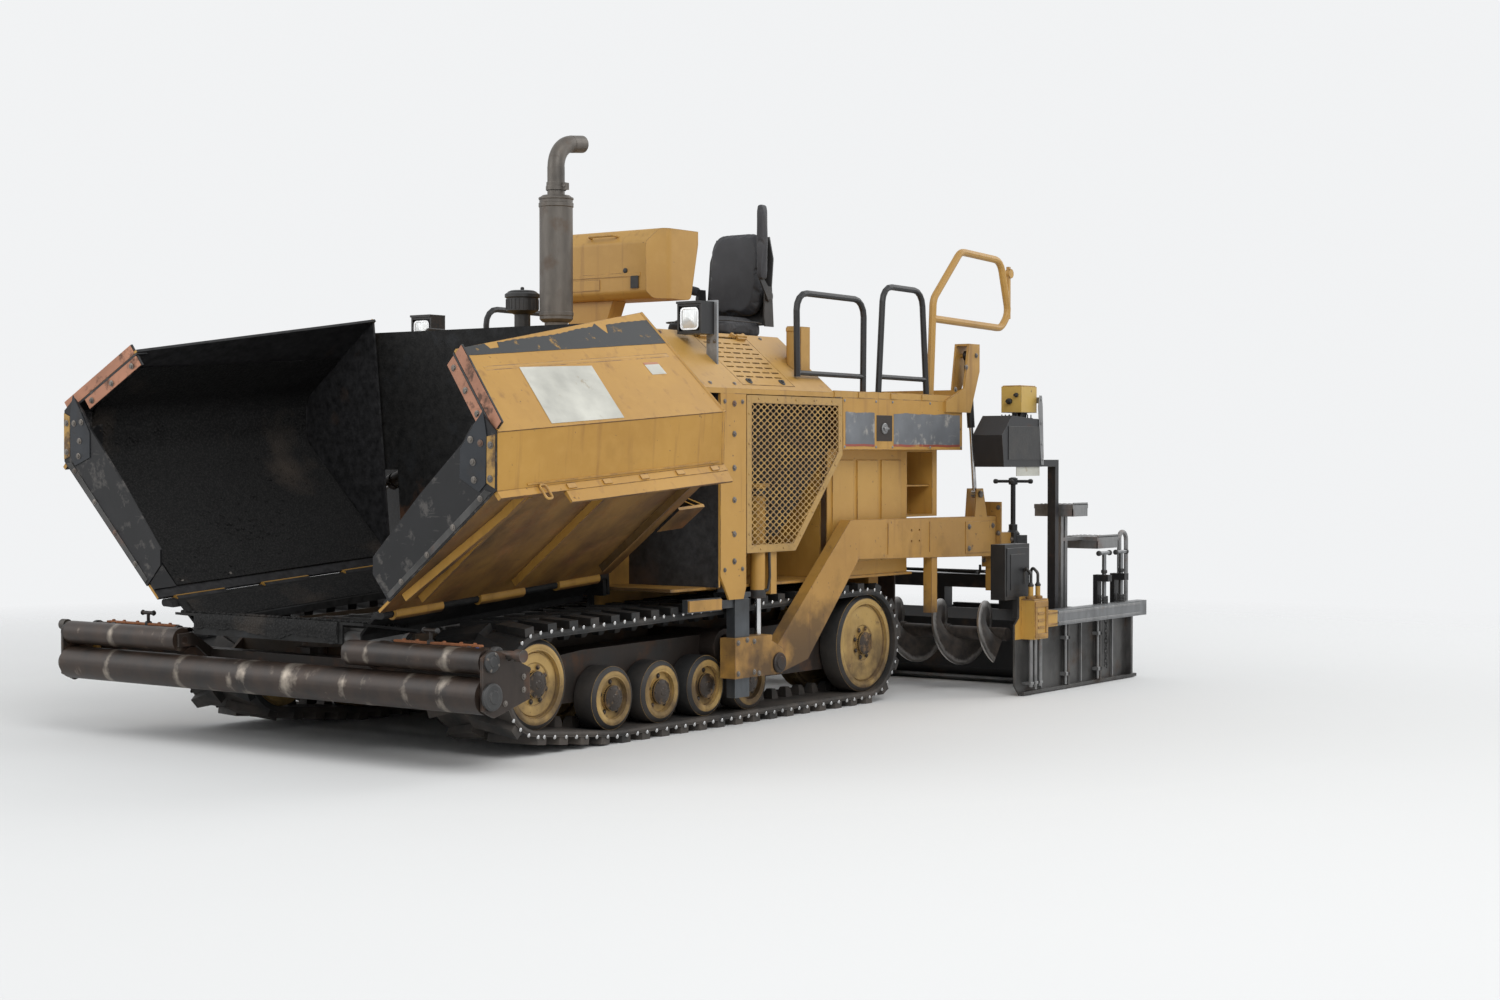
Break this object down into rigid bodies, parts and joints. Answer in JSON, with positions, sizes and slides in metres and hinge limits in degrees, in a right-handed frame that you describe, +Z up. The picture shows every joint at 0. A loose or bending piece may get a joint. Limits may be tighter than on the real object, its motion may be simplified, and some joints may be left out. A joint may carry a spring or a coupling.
{
  "type": "asphalt paver",
  "caption": "Track-driven road paver: a folding hopper feeds conveyors and augers, and a towed, widening screed lays and levels the asphalt behind it.",
  "frame": {"origin": "on the ground below the middle of the machine's overall length and width", "axes": "+X forward to the hopper and push rollers, +Y to the machine's left, +Z up"},
  "size_m": [5.736, 3.272, 3.0299],
  "materials": {
    "yellow_paint": "faded ochre paint, chipped and dusty",
    "greasy_yellow": "faded paint under grease and dirt",
    "black_paint": "worn black paint with dust",
    "worn_steel": "steel coated with asphalt, bright where it wears",
    "grimy_steel": "brown, oily and rusty, with bright worn bands",
    "bare_steel": "bare grey steel with stains",
    "bright_rod": "polished rod",
    "cast_metal": "dark oily casting",
    "exhaust_steel": "heat-browned steel",
    "rubber": "dusty black rubber",
    "black_plastic": "matt black",
    "seat_vinyl": "charcoal vinyl"
  },
  "bodies": {
    "machine": {"main_frame": "yellow_paint", "hopper_floor": "worn_steel", "conveyors": "worn_steel", "track_belt_left": "rubber", "track_belt_right": "rubber", "track_frame_left": "grimy_steel", "track_frame_right": "grimy_steel", "track_wheels_left": "greasy_yellow", "track_wheels_right": "greasy_yellow", "engine_block": "cast_metal", "engine_cowl": "yellow_paint", "side_grilles": "yellow_paint", "side_panels": "yellow_paint", "operator_deck": "yellow_paint", "exhaust": "exhaust_steel", "air_precleaner": "black_plastic", "guard_rails": "black_paint", "grab_rail": "yellow_paint", "work_lamps": "black_paint", "tow_rails": "grimy_steel", "leveling_barrels": "yellow_paint", "auger_case": "grimy_steel", "console": "yellow_paint"},
    "hood_left": {"hood_door_left": "yellow_paint"},
    "hood_right": {"hood_door_right": "yellow_paint"},
    "wing_left": {"hopper_wing_left": "yellow_paint", "wing_edging_left": "worn_steel"},
    "wing_right": {"hopper_wing_right": "yellow_paint", "wing_edging_right": "worn_steel"},
    "fold_barrel_left": {"wing_barrel_left": "yellow_paint"},
    "fold_barrel_right": {"wing_barrel_right": "yellow_paint"},
    "fold_rod_left": {"wing_rod_left": "bright_rod"},
    "fold_rod_right": {"wing_rod_right": "bright_rod"},
    "roller_beam": {"push_beam": "grimy_steel"},
    "lower_roller": {"push_roller_lower": "grimy_steel"},
    "upper_roller_left": {"push_roller_left": "grimy_steel"},
    "upper_roller_right": {"push_roller_right": "grimy_steel"},
    "steering_guide_left": {"guide_rod_left": "bright_rod"},
    "steering_guide_right": {"guide_rod_right": "bright_rod"},
    "tow_points": {"tow_carriages": "yellow_paint", "leveling_rods": "bright_rod"},
    "screed": {"tow_arms": "yellow_paint", "screed_frame": "black_paint", "screed_plates": "worn_steel", "screed_walkway": "bare_steel", "screed_panels": "black_paint"},
    "screed_extension_left": {"extension_left": "black_paint"},
    "screed_extension_right": {"extension_right": "black_paint"},
    "gate_left": {"end_gate_left": "bare_steel"},
    "gate_right": {"end_gate_right": "bare_steel"},
    "screw_left": {"auger_left": "worn_steel"},
    "screw_right": {"auger_right": "worn_steel"},
    "lifting_barrels": {"lift_barrels": "black_paint"},
    "lifting_rods": {"lift_rods": "bright_rod"},
    "seat": {"seat_stand": "black_paint", "seat_pads": "seat_vinyl"}
  },
  "joints": [
    {"name": "hood_left_open", "type": "hinge", "parent": "machine", "child": "hood_left", "pos_m": [0, 0.83517, 1.97428], "axis": [1, 0, 0], "range_deg": [0, 75]},
    {"name": "hood_right_open", "type": "hinge", "parent": "machine", "child": "hood_right", "pos_m": [0, -0.83517, 1.97428], "axis": [-1, 0, 0], "range_deg": [0, 75]},
    {"name": "wing_left_fold", "type": "hinge", "parent": "machine", "child": "wing_left", "pos_m": [2.016, 0.722, 0.70969], "axis": [0.9976, 0, -0.0698], "range_deg": [-28, 18]},
    {"name": "wing_right_fold", "type": "hinge", "parent": "machine", "child": "wing_right", "pos_m": [2.016, -0.722, 0.70969], "axis": [-0.9976, 0, 0.0698], "range_deg": [-38, 8]},
    {"name": "wing_barrel_left_swing", "type": "hinge", "parent": "machine", "child": "fold_barrel_left", "pos_m": [1.11815, 0.48, 1.37394], "axis": [0.9976, 0, -0.0698], "range_deg": [-8.8, 5.7]},
    {"name": "wing_barrel_right_swing", "type": "hinge", "parent": "machine", "child": "fold_barrel_right", "pos_m": [1.11815, -0.48, 1.37394], "axis": [-0.9976, 0, 0.0698], "range_deg": [-11.5, 2.5]},
    {"name": "wing_rod_left_slide", "type": "slide", "parent": "fold_barrel_left", "child": "fold_rod_left", "axis": [-0.0288, 0.911, -0.4114], "range_m": [-0.138, 0.214]},
    {"name": "wing_rod_right_slide", "type": "slide", "parent": "fold_barrel_right", "child": "fold_rod_right", "axis": [-0.026, -0.9281, -0.3713], "range_m": [-0.062, 0.287]},
    {"name": "roller_beam_swing", "type": "hinge", "parent": "machine", "child": "roller_beam", "pos_m": [2.49, 0, 0.39], "axis": [0, 0, 1], "range_deg": [-5, 5]},
    {"name": "lower_roller_spin", "type": "hinge", "parent": "roller_beam", "child": "lower_roller", "pos_m": [2.802, 0, 0.345], "axis": [0, 1, 0], "continuous": true},
    {"name": "upper_roller_left_spin", "type": "hinge", "parent": "roller_beam", "child": "upper_roller_left", "pos_m": [2.802, 0.96, 0.491], "axis": [0, 1, 0], "continuous": true},
    {"name": "upper_roller_right_spin", "type": "hinge", "parent": "roller_beam", "child": "upper_roller_right", "pos_m": [2.802, -0.96, 0.491], "axis": [0, 1, 0], "continuous": true},
    {"name": "guide_left_reach", "type": "slide", "parent": "roller_beam", "child": "steering_guide_left", "axis": [0, 1, 0], "range_m": [0, 0.45]},
    {"name": "guide_right_reach", "type": "slide", "parent": "roller_beam", "child": "steering_guide_right", "axis": [0, -1, 0], "range_m": [-0.12, 0.33]},
    {"name": "tow_point_slide", "type": "slide", "parent": "machine", "child": "tow_points", "axis": [0, 0, 1], "range_m": [-0.08, 0.06]},
    {"name": "screed_lift", "type": "hinge", "parent": "tow_points", "child": "screed", "pos_m": [0.43, 0, 0.303], "axis": [0, 1, 0], "range_deg": [0, 9]},
    {"name": "extension_left_slide", "type": "slide", "parent": "screed", "child": "screed_extension_left", "axis": [0, 1, 0], "range_m": [0, 0.85]},
    {"name": "extension_right_slide", "type": "slide", "parent": "screed", "child": "screed_extension_right", "axis": [0, -1, 0], "range_m": [0, 0.85]},
    {"name": "gate_left_height", "type": "slide", "parent": "screed_extension_left", "child": "gate_left", "axis": [0, 0, 1], "range_m": [0, 0.08]},
    {"name": "gate_right_height", "type": "slide", "parent": "screed_extension_right", "child": "gate_right", "axis": [0, 0, 1], "range_m": [0, 0.08]},
    {"name": "auger_left_spin", "type": "hinge", "parent": "machine", "child": "screw_left", "pos_m": [-1.48, 0.8, 0.335], "axis": [0, 1, 0], "continuous": true},
    {"name": "auger_right_spin", "type": "hinge", "parent": "machine", "child": "screw_right", "pos_m": [-1.48, -0.8, 0.335], "axis": [0, 1, 0], "continuous": true},
    {"name": "lift_barrel_swing", "type": "hinge", "parent": "machine", "child": "lifting_barrels", "pos_m": [-1.512, 0, 1.93], "axis": [0, 1, 0], "range_deg": [-12.4, 0]},
    {"name": "lift_rod_slide", "type": "slide", "parent": "lifting_barrels", "child": "lifting_rods", "axis": [-0.1093, 0, -0.994], "range_m": [-0.316, 0]},
    {"name": "seat_turn", "type": "hinge", "parent": "machine", "child": "seat", "pos_m": [-0.33, 0.2, 1.7], "axis": [0, 0, 1], "range_deg": [-30, 30]}
  ],
  "couplings": [
    {"joint": "wing_barrel_left_swing", "follows": "wing_left_fold", "ratio": 0.31},
    {"joint": "wing_rod_left_slide", "follows": "wing_left_fold", "m_per_rad": -0.435},
    {"joint": "wing_barrel_right_swing", "follows": "wing_right_fold", "ratio": 0.3},
    {"joint": "wing_rod_right_slide", "follows": "wing_right_fold", "m_per_rad": -0.43},
    {"joint": "lift_barrel_swing", "follows": "screed_lift", "ratio": -1.36},
    {"joint": "lift_rod_slide", "follows": "screed_lift", "m_per_rad": -2}
  ]
}
